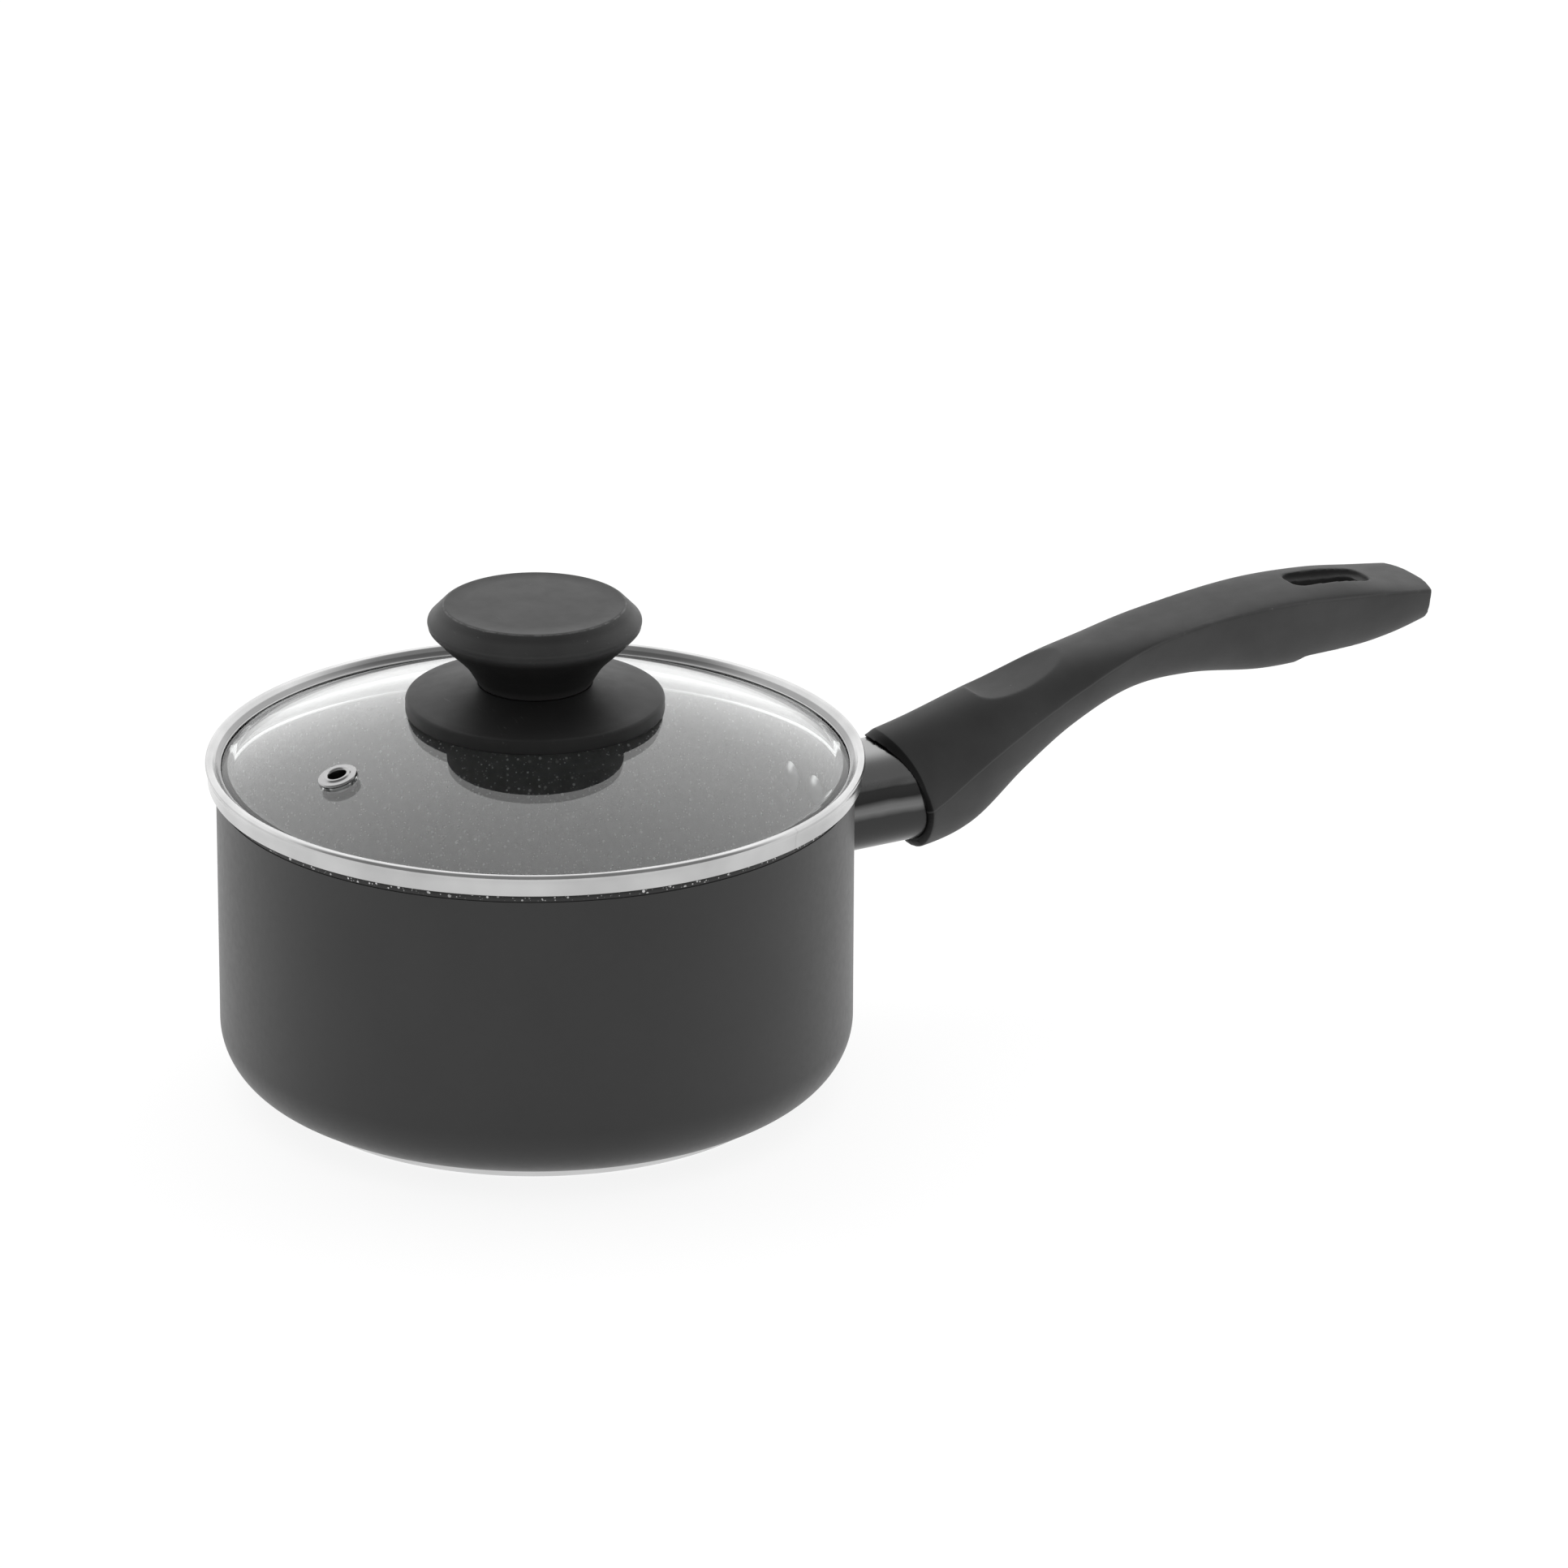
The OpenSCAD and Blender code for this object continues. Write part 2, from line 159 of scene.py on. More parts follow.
def add_floor():
    bm = bmesh.new()
    bmesh.ops.create_grid(bm, x_segments=2, y_segments=2, size=6)
    mesh = bpy.data.meshes.new("floor")
    bm.to_mesh(mesh)
    floor = bpy.data.objects.new("floor", mesh)
    bpy.context.collection.objects.link(floor)
    mesh.materials.append(plain_floor())


# ---- shader graphs --------------------------------------------------------------


class Graph:
    """Short calls for building a node tree."""

    def __init__(self, tree):
        self.tree = tree
        tree.nodes.clear()

    def add(self, kind, **settings):
        node = self.tree.nodes.new(kind)
        for key, value in settings.items():
            setattr(node, key, value)
        return node

    def link(self, out, into):
        self.tree.links.new(out, into)

    def put(self, value, socket):
        if isinstance(value, (int, float)):
            socket.default_value = value
        else:
            self.link(value, socket)

    def math(self, operation, a, b=0.0, c=0.0, clamp=False):
        node = self.add("ShaderNodeMath", operation=operation, use_clamp=clamp)
        for value, socket in zip((a, b, c), node.inputs):
            self.put(value, socket)
        return node.outputs[0]

    def reach(self, a, b):
        """Distance of the point (a, b) from the origin."""
        return self.math("SQRT", self.math("ADD", self.math("MULTIPLY", a, a),
                                           self.math("MULTIPLY", b, b)))

    def apart(self, a, b):
        return self.math("ABSOLUTE", self.math("SUBTRACT", a, b))

    def above(self, value, level, steep):
        """0 where value is below level, rising above it to 1 at the rate steep."""
        return self.math("MULTIPLY", self.math("SUBTRACT", value, level), steep, clamp=True)

    def near(self, off, steep):
        """1 where off is 0, falling to 0 at the rate steep."""
        return self.math("SUBTRACT", 1.0, self.math("MULTIPLY", off, steep), clamp=True)

    def split(self, vector):
        """The vector's X, Y and Z."""
        node = self.add("ShaderNodeSeparateXYZ")
        self.link(vector, node.inputs[0])
        return tuple(node.outputs)

    def along(self, vector, direction):
        """Dot product of the vector with a fixed direction."""
        node = self.add("ShaderNodeVectorMath", operation="DOT_PRODUCT")
        self.link(vector, node.inputs[0])
        node.inputs[1].default_value = direction
        return node.outputs["Value"]

    def ramp(self, fac, stops):
        """Colours at places from 0 to 1, joined by straight lines; at most 32 of them."""
        node = self.add("ShaderNodeValToRGB")
        ramp = node.color_ramp
        ramp.interpolation = "LINEAR"
        while len(ramp.elements) < len(stops):
            ramp.elements.new(0.5)
        for element, (at, colour) in zip(ramp.elements, stops):
            element.position = at
            element.color = (*colour, 1)
        self.link(fac, node.inputs["Fac"])
        return node.outputs["Color"]

    def position(self, scale=(1, 1, 1)):
        """Object coordinates in millimetres times scale."""
        node = self.add("ShaderNodeMapping")
        self.link(self.add("ShaderNodeTexCoord").outputs["Object"], node.inputs["Vector"])
        node.inputs["Scale"].default_value = [1000 * s for s in scale]
        return node.outputs["Vector"]

    def noise(self, vector, scale, detail=2.0, rough=0.5):
        node = self.add("ShaderNodeTexNoise")
        self.link(vector, node.inputs["Vector"])
        node.inputs["Scale"].default_value = scale
        node.inputs["Detail"].default_value = detail
        node.inputs["Roughness"].default_value = rough
        return node.outputs["Fac"]

    def mix(self, fac, a, b):
        """Colour a where fac is 0, and b where it is 1."""
        node = self.add("ShaderNodeMix", data_type="RGBA")
        self.put(fac, node.inputs["Factor"])
        # Inputs 6 and 7 and output 2 are this node's colour sockets.
        for value, socket in ((a, node.inputs[6]), (b, node.inputs[7])):
            if isinstance(value, tuple):
                socket.default_value = (*value, 1)
            else:
                self.link(value, socket)
        return node.outputs[2]

    def bump(self, height, strength, distance):
        node = self.add("ShaderNodeBump")
        node.inputs["Strength"].default_value = strength
        node.inputs["Distance"].default_value = distance * MM
        self.link(height, node.inputs["Height"])
        return node.outputs["Normal"]


def surface(name, colour, roughness, metallic=0.0, **sockets):
    """A material with one Principled shader, and the graph that feeds it."""
    mat = bpy.data.materials.new(name)
    mat.use_nodes = True
    g = Graph(mat.node_tree)
    shader = g.add("ShaderNodeBsdfPrincipled")
    g.link(shader.outputs[0], g.add("ShaderNodeOutputMaterial").inputs["Surface"])
    shader.inputs["Base Color"].default_value = (*colour, 1)
    shader.inputs["Roughness"].default_value = roughness
    shader.inputs["Metallic"].default_value = metallic
    for key, value in sockets.items():
        shader.inputs[key.replace("_", " ")].default_value = value
    return mat, g, shader


def grey(value):
    return (value, value, value)


def plain_floor():
    """Pale sheet that is lit mostly from within, which keeps the shadows on it light."""
    mat, _, shader = surface("pale_floor", grey(0.21), 0.9)
    shader.inputs["Specular IOR Level"].default_value = 0.0
    shader.inputs["Emission Color"].default_value = (1, 1, 1, 1)
    shader.inputs["Emission Strength"].default_value = 0.87
    return mat


def dots(g, vector, scale, share, size):
    """Scattered round dots: a share of the cells hold one, each of its own size, up to size
    cells. Also gives a random number for each cell, for its tone."""
    cells = g.add("ShaderNodeTexVoronoi")
    g.link(vector, cells.inputs["Vector"])
    cells.inputs["Scale"].default_value = scale
    parts = g.add("ShaderNodeSeparateColor")
    g.link(cells.outputs["Color"], parts.inputs[0])
    reach = g.math("MULTIPLY_ADD", parts.outputs[0], size * 0.8, size * 0.2)
    inside = g.above(reach, cells.outputs["Distance"], 14)
    chosen = g.math("LESS_THAN", parts.outputs[1], share)
    return g.math("MULTIPLY", inside, chosen), parts.outputs[2]


def enamel():
    """Matt dark outside of the pan, with the faint orange peel of a sprayed coat."""
    mat, g, shader = surface("pan_enamel", grey(0.018), 0.4, Specular_IOR_Level=0.47)
    mm = g.position()
    cloud = g.noise(mm, 0.03, 3)
    g.link(g.ramp(cloud, [(0.3, grey(0.0165)), (0.7, grey(0.021))]), shader.inputs["Base Color"])
    peel = g.noise(mm, 1.6, 2)
    g.link(g.bump(peel, 0.2, 0.04), shader.inputs["Normal"])
    g.link(g.math("MULTIPLY_ADD", g.noise(mm, 0.5, 2), 0.10, 0.36), shader.inputs["Roughness"])
    return mat


def nonstick():
    """Speckled cooking surface. Inside the pan it is paler than it should be, which makes up
    for light that the closed lid keeps out. Where it wraps over the lip it is near black."""
    mat, g, shader = surface("pan_nonstick", grey(0.05), 0.5, Specular_IOR_Level=0.3)
    mm = g.position()
    patch = g.math("MULTIPLY_ADD", g.noise(mm, 0.06, 2), 4, -1.5, clamp=True)
    big, shade = dots(g, mm, 0.8, 0.62, 0.40)
    small, tint = dots(g, mm, 1.4, 0.70, 0.38)
    big = g.math("MULTIPLY", big, g.math("MULTIPLY_ADD", patch, 0.6, 0.4))
    ground = g.ramp(g.noise(mm, 0.4, 3), [(0.3, grey(0.19)), (0.7, grey(0.24))])
    x, y, _ = g.split(mm)
    lip_start = PAN_R - WALL + 0.5
    over_lip = g.math("SUBTRACT", g.reach(x, y), lip_start, clamp=True)
    ground = g.mix(over_lip, ground, grey(0.03))
    fleck = g.ramp(shade, [(0.1, grey(0.50)), (0.6, grey(1.0))])
    grain = g.ramp(tint, [(0.1, grey(0.15)), (0.9, grey(0.80))])
    colour = g.mix(small, ground, grain)
    colour = g.mix(big, colour, fleck)
    g.link(colour, shader.inputs["Base Color"])
    g.link(g.bump(g.noise(mm, 2.2, 2), 0.1, 0.02), shader.inputs["Normal"])
    return mat


def scratches(g, mm, strength):
    """Fine scratches along Y, in patches."""
    mark = g.above(g.noise(g.position((1.2, 0.05, 1.2)), 1.4, 3), 0.66, 9)
    patch = g.above(g.noise(mm, 0.09, 2), 0.5, 5)
    return g.math("MULTIPLY", g.math("MULTIPLY", mark, patch), strength)


def paint_knob_highlight_and_shade(g, mm, colour, edge_r, low, high):
    """Paints a pale highlight along the head's top edge, which has radius edge_r, and paints shade
    on the knob from its lowest to its highest point as the photograph has it: dark at the waist
    and paler on the head."""
    x, y, z = g.split(mm)
    # Painted highlight: a pale line along the head's top edge, broken up by noise.
    edge = g.near(g.apart(g.reach(x, y), edge_r), 3)
    edge = g.math("MULTIPLY", edge, g.math("GREATER_THAN", z, high - 3))
    highlight_breakup = g.above(g.noise(mm, 0.3, 5, 0.7), 0.40, 5)
    colour = g.mix(g.math("MULTIPLY", g.math("MULTIPLY", edge, highlight_breakup), 0.7), colour, grey(0.25))
    # Painted shade by height: dark at the waist, full tone on the head, a little darker at the
    # foot and on the top.
    tall = g.math("MULTIPLY_ADD", z, 1 / (high - low), -low / (high - low))
    painted_shade = g.ramp(tall, [(0.0, grey(0.8)), (0.12, grey(0.2)), (0.58, grey(0.2)),
                          (0.70, grey(1)), (0.88, grey(1)), (0.93, grey(0.7))])
    return g.mix(painted_shade, grey(0.006), colour)


def paint_grip_shade_and_seam(g, mm, colour):
    """Paints shade on the end face round the grip's mouth, and draws the pale parting line on its
    sides, at the height of the crease."""
    x, y, z = g.split(mm)
    # Painted shade: the end face round the mouth is darkened.
    rise = g.math("SUBTRACT", z, MOUTH_Z)
    reach = g.reach(g.math("SUBTRACT", x, MOUTH_X), rise)
    over = g.math("MAXIMUM", g.math("SUBTRACT", rise, MOUTH_RISE), 0.0)
    lean = g.math("MULTIPLY", over, MOUTH_LEAN)
    skin = g.above(g.math("SUBTRACT", reach, MOUTH_R + 0.8), lean, 3)
    colour = g.mix(skin, grey(0.008), colour)
    steps, white_z = 28, 100
    heights = []
    for i in range(steps + 1):
        crease = grip_at(GRIP_START + GRIP_SPAN * i / steps)[1]
        heights.append((i / steps, grey(crease / white_z)))
    along = g.math("MULTIPLY_ADD", x, 1 / GRIP_SPAN, -GRIP_START / GRIP_SPAN)
    level = g.add("ShaderNodeSeparateColor")
    g.link(g.ramp(along, heights), level.inputs[0])
    off = g.math("ABSOLUTE", g.math("MULTIPLY_ADD", level.outputs[0], white_z,
                                    g.math("MULTIPLY", z, -1)))
    flank = g.math("GREATER_THAN", g.math("ABSOLUTE", y), 10)
    line = g.math("MULTIPLY", g.near(off, 2.2), flank)
    return g.mix(g.math("MULTIPLY", line, 0.5), colour, grey(0.12))


def moulded(name, tone, rough, grain, scratch=0.0, knob=None, grip=False):
    """Moulded bakelite: fine grain, slow changes of tone and specks of dust, with scratches as
    strong as scratch. knob holds the numbers for the knob's painted highlight and painted shade,
    and grip adds the grip's painted shade at the mouth and its parting line."""
    mat, g, shader = surface(name, grey(tone), rough, Specular_IOR_Level=0.16)
    mm = g.position()
    base = g.ramp(g.noise(mm, 0.06, 4), [(0.3, grey(tone * 0.85)), (0.7, grey(tone * 1.15))])
    dust, _ = dots(g, mm, 0.32, 0.10, 0.075)
    colour = g.mix(g.math("MULTIPLY", dust, 0.55), base, grey(0.45))
    height = g.math("MULTIPLY", g.noise(mm, 3.0, 3, 0.6), grain)
    if scratch:
        worn = scratches(g, mm, scratch)
        colour = g.mix(worn, colour, grey(0.3))
        height = g.math("SUBTRACT", height, worn)
    if knob:
        colour = paint_knob_highlight_and_shade(g, mm, colour, *knob)
    if grip:
        colour = paint_grip_shade_and_seam(g, mm, colour)
    g.link(colour, shader.inputs["Base Color"])
    g.link(g.bump(height, 0.35, 0.06), shader.inputs["Normal"])
    wave = g.math("MULTIPLY_ADD", g.noise(mm, 0.25, 3), 0.12, rough - 0.06)
    g.link(wave, shader.inputs["Roughness"])
    return mat


def lacquer():
    """Satin black lacquer over metal. Bands of tone at set heights stand in for the
    reflections that the photograph shows on the ferrule."""
    mat, g, shader = surface("ferrule_black", grey(0.14), 0.26, 1.0)
    mm = g.position()
    z = g.split(mm)[2]
    low, tall = 45, 30
    height = g.math("MULTIPLY_ADD", z, 1 / tall, -low / tall)
    wave = g.math("MULTIPLY_ADD", g.noise(mm, 0.08, 2), 0.06, -0.03)
    tone = g.ramp(g.math("ADD", height, wave),
                  [(0.0, grey(0.14)), (0.08, grey(0.05)), (0.40, grey(0.045)), (0.46, grey(0.16)),
                   (0.50, grey(0.14)), (0.56, grey(0.022)), (0.66, grey(0.03)), (0.74, grey(0.24)),
                   (1.0, grey(0.28))])
    g.link(tone, shader.inputs["Base Color"])
    g.link(g.bump(g.noise(mm, 1.5, 2), 0.04, 0.02), shader.inputs["Normal"])
    g.link(g.math("MULTIPLY_ADD", g.noise(mm, 0.2, 2), 0.05, 0.24), shader.inputs["Roughness"])
    return mat


def metal(name, tone, rough, streaks=(1, 1, 1), depth=0.15, spread=0.08):
    """Steel, brass or aluminium whose fine streaks run across the axes of high scale."""
    colour = tone if isinstance(tone, tuple) else grey(tone)
    mat, g, shader = surface(name, colour, rough, 1.0)
    grain = g.noise(g.position(streaks), 1.5, 3, 0.6)
    cloud = g.noise(g.position(), 0.08, 3)
    low = tuple(c * 0.92 for c in colour)
    high = tuple(min(1, c * 1.06) for c in colour)
    g.link(g.ramp(cloud, [(0.3, low), (0.7, high)]), shader.inputs["Base Color"])
    g.link(g.math("MULTIPLY_ADD", grain, spread, rough - spread / 2), shader.inputs["Roughness"])
    g.link(g.bump(grain, depth, 0.02), shader.inputs["Normal"])
    return mat


def rim_steel():
    """Bright folded steel with fine drawn lines and the weld seam of the band. Shade is painted
    into the crease where the lip turns in and over the skirt, and highlights are painted where the
    skirt is bent or curled, as the photograph has it."""
    mat, g, shader = surface("rim_steel", grey(0.7), 0.2, 1.0)
    mm = g.position()
    grain = g.noise(g.position((0.15, 0.15, 3.0)), 1.5, 3, 0.6)
    cloud = g.noise(mm, 0.05, 3)
    x, y, z = g.split(mm)
    c, s = math.cos(WELD_TURN), math.sin(WELD_TURN)
    across = g.apart(g.math("MULTIPLY", y, c), g.math("MULTIPLY", x, s))
    along = g.math("ADD", g.math("MULTIPLY", x, c), g.math("MULTIPLY", y, s))
    seam = g.math("MULTIPLY", g.near(across, 2.2), g.math("GREATER_THAN", along, 0.0))
    tone = g.ramp(cloud, [(0.3, grey(0.44)), (0.7, grey(0.56))])
    tone = g.mix(g.math("MULTIPLY", seam, 0.35), tone, grey(0.3))
    reach = g.reach(x, y)
    # Painted shade in the crease where the lip turns in.
    crease_r, crease_half, crease_z = 81.55, 0.75, LID_Z + 3
    fold_shade = g.math("MULTIPLY", g.math("SUBTRACT", crease_half, g.apart(reach, crease_r)), 5,
                  clamp=True)
    fold_shade = g.math("MULTIPLY", fold_shade, g.math("GREATER_THAN", z, crease_z))
    tone = g.mix(g.math("MULTIPLY", fold_shade, 0.55), tone, grey(0.07))
    # The skirt: painted shade over it, and painted highlights on its curl and where it bends.
    skirt_r, curl_z, bend_z = 80.2, LID_Z - 2.15, LID_Z + 0.05
    skirt = g.math("LESS_THAN", reach, skirt_r)
    curl_highlight = g.math("LESS_THAN", z, curl_z)
    bend = g.math("GREATER_THAN", z, bend_z)
    tone = g.mix(skirt, tone, grey(0.10))
    tone = g.mix(g.math("MULTIPLY", skirt, curl_highlight), tone, grey(0.85))
    tone = g.mix(g.math("MULTIPLY", skirt, bend), tone, grey(0.5))
    g.link(tone, shader.inputs["Base Color"])
    g.link(g.math("MULTIPLY_ADD", grain, 0.08, 0.14), shader.inputs["Roughness"])
    height = g.math("SUBTRACT", g.math("MULTIPLY", grain, 0.3), seam)
    g.link(g.bump(height, 0.15, 0.03), shader.inputs["Normal"])
    return mat


def turned(name, tone, rough):
    """Steel turned on a lathe: its fine rings follow the distance from the axis."""
    mat, g, shader = surface(name, grey(tone), rough, 1.0)
    x, y, z = g.split(g.position())
    ring = g.add("ShaderNodeCombineXYZ")
    g.link(g.reach(x, y), ring.inputs[0])
    g.link(z, ring.inputs[1])
    grain = g.noise(ring.outputs[0], 4.0, 3, 0.7)
    g.link(g.bump(grain, 0.3, 0.02), shader.inputs["Normal"])
    g.link(g.math("MULTIPLY_ADD", grain, 0.12, rough - 0.06), shader.inputs["Roughness"])
    tint = g.ramp(g.noise(g.position(), 0.05, 2), [(0.3, grey(tone * 0.9)), (0.7, grey(tone))])
    g.link(tint, shader.inputs["Base Color"])
    return mat


def clear_glass():
    """Clear glass whose tint varies a little from place to place."""
    mat, g, shader = surface("lid_clear_glass", (0.96, 0.97, 0.965), 0.0)
    shader.inputs["Transmission Weight"].default_value = 1.0
    shader.inputs["IOR"].default_value = 1.52
    tint = g.ramp(g.noise(g.position(), 0.03, 2), [(0.3, (0.95, 0.965, 0.96)),
                                                   (0.7, (0.97, 0.98, 0.975))])
    g.link(tint, shader.inputs["Base Color"])
    return mat


def silicone():
    mat, g, shader = surface("bush_silicone", (0.62, 0.62, 0.60), 0.55)
    g.link(g.bump(g.noise(g.position(), 1.2, 2), 0.2, 0.05), shader.inputs["Normal"])
    tint = g.ramp(g.noise(g.position(), 0.3, 2), [(0.3, grey(0.55)), (0.7, grey(0.68))])
    g.link(tint, shader.inputs["Base Color"])
    return mat


# ---- meshes ---------------------------------------------------------------------


def arc(x, z, radius, start, end, steps):
    """Points along a circular arc, angles in degrees."""
    angles = [math.radians(start + (end - start) * i / steps) for i in range(steps + 1)]
    return [(x + radius * math.cos(a), z + radius * math.sin(a)) for a in angles]


def curve_between(a, b, start, end, t):
    """Smooth curve from a to b that leaves with slope start and arrives with slope end."""
    return (a * (1 + 2 * t) * (1 - t)**2 + b * t * t * (3 - 2 * t)
            + start * t * (1 - t)**2 - end * t * t * (1 - t))


def new_object(name, bm, materials):
    """Object in metres from a mesh in millimetres, smooth apart from its sharp edges."""
    for vert in bm.verts:
        vert.co *= MM
    bmesh.ops.recalc_face_normals(bm, faces=bm.faces)
    for face in bm.faces:
        face.smooth = True
    mesh = bpy.data.meshes.new(name)
    bm.to_mesh(mesh)
    bm.free()
    mesh.set_sharp_from_angle(angle=SHARP)
    for mat in materials:
        mesh.materials.append(mat)
    obj = bpy.data.objects.new(name, mesh)
    bpy.context.collection.objects.link(obj)
    return obj


def lathe(name, outline, materials, pick=None, place=None, turns=TURNS):
    """Turns a closed (radius, height) outline about the Z axis. pick(i) gives the material's
    number for the strip from point i to the next."""
    bm = bmesh.new()
    rings = []
    for r, z in outline:
        if r == 0:
            rings.append([bm.verts.new((0, 0, z))])
            continue
        rings.append([bm.verts.new((r * math.cos(t), r * math.sin(t), z))
                      for t in (2 * math.pi * k / turns for k in range(turns))])
    for i, low in enumerate(rings):
        high = rings[(i + 1) % len(rings)]
        if len(low) == 1 and len(high) == 1:
            continue
        number = pick(i) if pick else 0
        for k in range(turns):
            n = (k + 1) % turns
            if len(low) == 1:
                corners = (low[0], high[n], high[k])
            elif len(high) == 1:
                corners = (low[k], low[n], high[0])
            else:
                corners = (low[k], low[n], high[n], high[k])
            bm.faces.new(corners).material_index = number
    if place is not None:
        bm.transform(place)
    return new_object(name, bm, materials)


def cut(obj, *tools):
    """Cuts the tools out of a piece and removes them."""
    for tool in tools:
        step = obj.modifiers.new("cut", "BOOLEAN")
        step.operation = "DIFFERENCE"
        step.solver = "EXACT"
        step.object = tool
        bake(obj)
        bpy.data.objects.remove(tool)


def bake(obj):
    """Replaces a piece's mesh by what its modifiers make of it."""
    graph = bpy.context.evaluated_depsgraph_get()
    mesh = bpy.data.meshes.new_from_object(obj.evaluated_get(graph))
    obj.modifiers.clear()
    old = obj.data
    obj.data = mesh
    bpy.data.meshes.remove(old)


# ---- pan ------------------------------------------------------------------------


def make_pan():
    """Pan with a round lip. A fine groove parts the enamel from the coating over the lip."""
    lip = WALL / 2
    bore = PAN_R - WALL
    inner = CORNER - WALL
    coat_end = RIM_Z - 1.7
    groove = 0.25
    outside = [(0, BASE_T), (BASE_R, BASE_T)]
    outside += arc(PAN_R - CORNER, BASE_T + CORNER, CORNER, -87, 0, 24)
    outside += [(PAN_R, coat_end - 0.35), (PAN_R - groove, coat_end - 0.3),
                (PAN_R - groove, coat_end)]
    inside = [(PAN_R - 0.02, coat_end + 0.1), (PAN_R, coat_end + 0.3), (PAN_R, RIM_Z - lip)]
    inside += arc(PAN_R - lip, RIM_Z - lip, lip, 15, 180, 11)
    inside += arc(bore - inner, BASE_T + FLOOR + inner, inner, 0, -90, 20)
    inside += [(0, BASE_T + FLOOR)]
    first = len(outside) - 1
    return lathe("pan_shell", outside + inside, [enamel(), nonstick()],
                 pick=lambda i: 1 if i >= first else 0)


def make_base():
    """Base disc with shallow rings turned in its underside."""
    edge = 0.7
    pitch, depth = 8, 0.15
    outline = [(0, 0)]
    for r in range(pitch, int(BASE_R) - 2, pitch):
        outline += [(r - 0.5, 0), (r - 0.2, depth), (r + 0.2, depth), (r + 0.5, 0)]
    outline += arc(BASE_R - edge, edge, edge, -90, 0, 6)
    outline += [(BASE_R, BASE_T), (0, BASE_T)]
    return lathe("base_plate", outline, [turned("base_steel", 0.66, 0.3)])


# ---- lid ------------------------------------------------------------------------


def make_glass():
    """Glass dome with a hole for the knob's screw and one for the vent."""
    hole = 5.2
    vent_hole, drill_half = 3.2, 20
    edge = LID_R - 1.6
    seat = LID_Z + 0.55

    def dome(radius, start, end, steps):
        points = []
        for i in range(steps + 1):
            r = start + (end - start) * i / steps
            points.append((r, DOME_Z + math.sqrt(radius**2 - r**2)))
        return points

    inner = DOME_R - GLASS_T
    seat_r = math.sqrt(inner**2 - (seat - DOME_Z)**2)
    outline = dome(DOME_R, hole, edge - 1, 40)
    outline += [(edge - 0.3, outline[-1][1] - 0.5), (edge, seat + 0.8), (edge - 0.4, seat)]
    outline += [(seat_r + 1.2, seat)] + dome(inner, seat_r, hole, 40)
    glass = lathe("lid_dome", outline, [clear_glass()])
    drill = lathe("drill", [(0, -drill_half), (vent_hole, -drill_half),
                            (vent_hole, drill_half), (0, drill_half)], [],
                  turns=64, place=vent_frame())
    cut(glass, drill)
    glass.data.set_sharp_from_angle(angle=SHARP)
    return glass


def vent_frame():
    """The vent's own frame: +Z is the dome's normal, and 0 is on its outer face."""
    return (Matrix.Translation((0, 0, DOME_Z)) @ Matrix.Rotation(VENT_TURN, 4, "Z")
            @ Matrix.Rotation(-VENT_TILT, 4, "Y") @ Matrix.Translation((0, 0, DOME_R)))


def make_rim():
    """Folded steel strip: a curled skirt, a shelf, the band, the bead and the turned-in lip."""
    t = 0.5
    base_r = LID_R - 0.6
    bead = 1.1
    foot = arc(78.5, LID_Z - 2.9, 0.8, 60, 360, 14)
    shelf = [(79.3, LID_Z - 0.4), (79.6, LID_Z), (base_r - 0.6, LID_Z)]
    band = arc(base_r - 0.6, LID_Z + 0.6, 0.6, -75, 0, 4)
    band += [(base_r + 0.05, LID_Z + 2.5), (base_r + 0.15, LID_Z + 3.9)]
    roll = arc(LID_R - bead, LID_Z + 4.8, bead, -25, 138, 16)
    lip = [(82.45, LID_Z + 5.1), (81.6, LID_Z + 4.05)]
    lip += arc(LIP_R + 0.7, LID_Z + LIP_Z + 0.12, 0.34, 60, 250, 8)
    back = [(82.2, LID_Z + 3.8), (base_r - t, LID_Z + 3.6), (base_r - t, LID_Z + t)]
    back += arc(79.35, LID_Z - 0.1, 0.6, 90, 180, 4)
    return lathe("rim_band", foot + shelf + band + roll + lip + back, [rim_steel()])


def make_eyelet():
    """Grommet with a rolled mouth of radius r and a flange of radius outer."""
    r = 2.3
    outer = 5.2
    outline = [(r - 0.4, -4.6), (r - 0.4, -2.2), (r, 0.6)]
    outline += arc(r + 0.75, 0.75, 0.75, 170, 60, 7)
    outline += [(r + 1.3, 1.12), (r + 1.6, 0.98)]
    outline += arc(outer - 0.55, 0.42, 0.55, 85, -30, 8)
    outline += [(outer - 0.4, 0.02), (r + 0.6, 0.02), (r + 0.6, -4.6)]
    return lathe("vent_ring", outline, [metal("vent_polish", 0.33, 0.2, depth=0.05, spread=0.04)],
                 place=vent_frame(), turns=96)


def make_skirt():
    """Disc under the knob: its edge reaches from low to high, and its top rises to the neck."""
    low, high = skirt_low.z, LID_Z + 21.5
    r = SKIRT_R
    outline = [(r - 2.2, low + 0.1), (r - 0.6, low)]
    outline += arc(r - 0.6, low + 0.6, 0.6, -60, 0, 4)
    outline += arc(r - 1.0, high - 0.3, 1.0, 0, 75, 6)
    for i in range(1, 9):
        s = i / 9
        x = r - 1.2 + (NECK_R - r + 1.2) * s
        outline.append((x, high + 0.7 + (KNOB_Z - high - 0.7) * (s**1.15)))
    outline += [(NECK_R + 0.25, KNOB_Z - 0.1), (NECK_R - 0.5, KNOB_Z - 0.5), (5.0, KNOB_Z - 0.5)]
    outline += [(5.0, KNOB_Z - 5.0), (9.0, KNOB_Z - 5.0), (9.5, KNOB_Z - 2.2),
                (r - 2.6, high - 1.2), (r - 2.2, high - 1.8)]
    return lathe("knob_flange", outline,
                 [moulded("flange_bakelite", 0.025, 0.44, 0.5, 0.25)])


